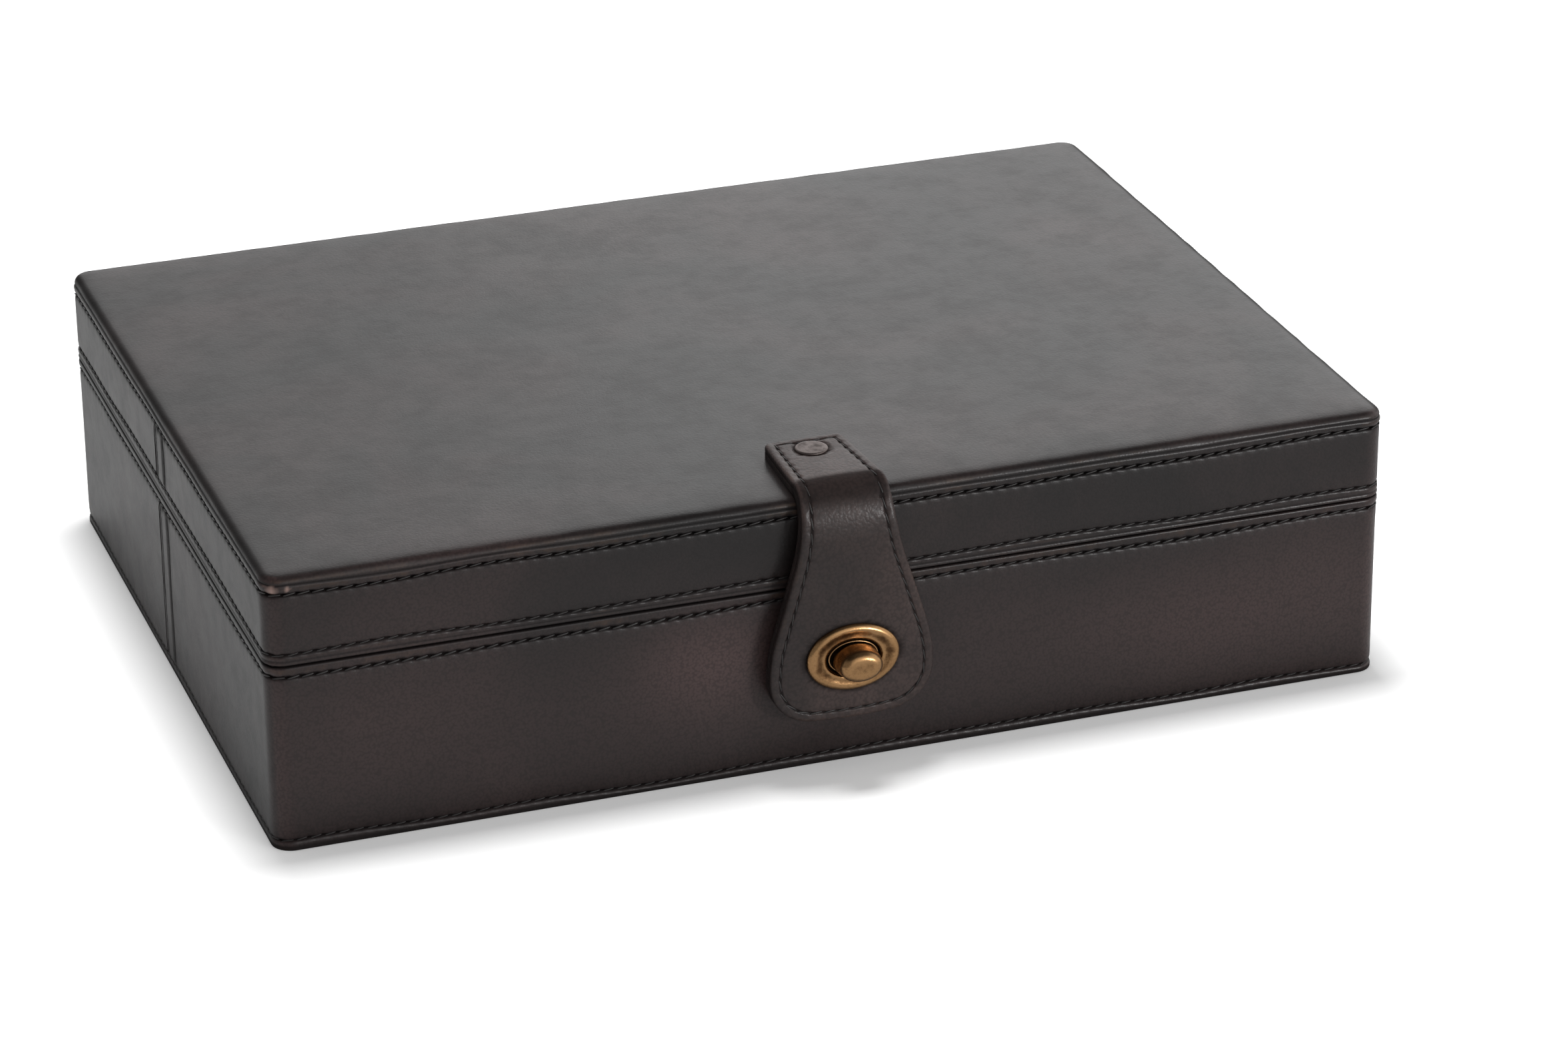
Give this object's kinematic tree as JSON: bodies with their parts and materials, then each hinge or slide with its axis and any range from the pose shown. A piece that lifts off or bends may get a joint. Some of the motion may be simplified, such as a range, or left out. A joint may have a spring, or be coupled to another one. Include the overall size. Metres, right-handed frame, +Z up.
{
  "type": "leather box",
  "caption": "Shallow rectangular leather-covered box with a hinged lid, stitched edges and a front strap that closes over an oval turn lock",
  "frame": {"origin": "centre of the underside of the closed case", "axes": "+X to the right along the front, -Y to the front, +Z up"},
  "size_m": [0.33, 0.2605, 0.0871],
  "materials": {
    "case_leather": "dark brown-black box leather, semi-gloss, with rubbed tan edges",
    "strap_leather": "dark brown-black strap leather with burnished edges and black stitching",
    "board": "plain wooden board, covered",
    "lining": "brown suede-like lining cloth",
    "rivet_bronze": "darkened bronze, worn flat",
    "hinge_brass": "antique brass",
    "lock_brass": "antique brass, rubbed bright on the high spots"
  },
  "bodies": {
    "base": {"base_floor_board": "board", "base_front_board": "board", "base_back_board": "board", "base_left_board": "board", "base_right_board": "board", "base_bottom_leather": "case_leather", "base_front_leather": "case_leather", "base_back_leather": "case_leather", "base_rim_leather": "case_leather", "base_wall_lining": "lining", "base_floor_lining": "lining", "left_hinge_base_leaf": "hinge_brass", "right_hinge_base_leaf": "hinge_brass", "left_hinge_pin": "hinge_brass", "right_hinge_pin": "hinge_brass", "hinge_base_screws": "hinge_brass", "lock_base_plate": "lock_brass", "lock_base_screws": "lock_brass", "lock_spring_washer": "lock_brass"},
    "lid": {"lid_top_board": "board", "lid_front_board": "board", "lid_back_board": "board", "lid_left_board": "board", "lid_right_board": "board", "lid_top_leather": "case_leather", "lid_front_leather": "case_leather", "lid_back_leather": "case_leather", "lid_rim_leather": "case_leather", "lid_wall_lining": "lining", "lid_top_lining": "lining", "left_hinge_lid_leaf": "hinge_brass", "right_hinge_lid_leaf": "hinge_brass", "hinge_lid_screws": "hinge_brass", "strap_root_outer": "strap_leather", "strap_root_backing": "strap_leather", "strap_rivet": "rivet_bronze", "strap_rivet_burr": "rivet_bronze"},
    "strap": {"strap_flap_outer": "strap_leather", "strap_flap_backing": "strap_leather", "lock_face_plate": "lock_brass", "lock_back_plate": "lock_brass"},
    "turn_button": {"turn_button": "lock_brass", "turn_button_washer": "lock_brass"}
  },
  "joints": [
    {"name": "lid_hinge", "type": "hinge", "parent": "base", "child": "lid", "pos_m": [0, 0.1216, 0.05515], "axis": [-1, 0, 0], "range_deg": [0, 100]},
    {"name": "strap_flex", "type": "hinge", "parent": "lid", "child": "strap", "pos_m": [0, -0.12256, 0.083], "axis": [-1, 0, 0], "range_deg": [0, 95], "stiffness_Nm_per_rad": 0.01},
    {"name": "button_turn", "type": "hinge", "parent": "base", "child": "turn_button", "pos_m": [0, -0.1187, 0.0355], "axis": [0, -1, 0], "range_deg": [0, 90]}
  ]
}
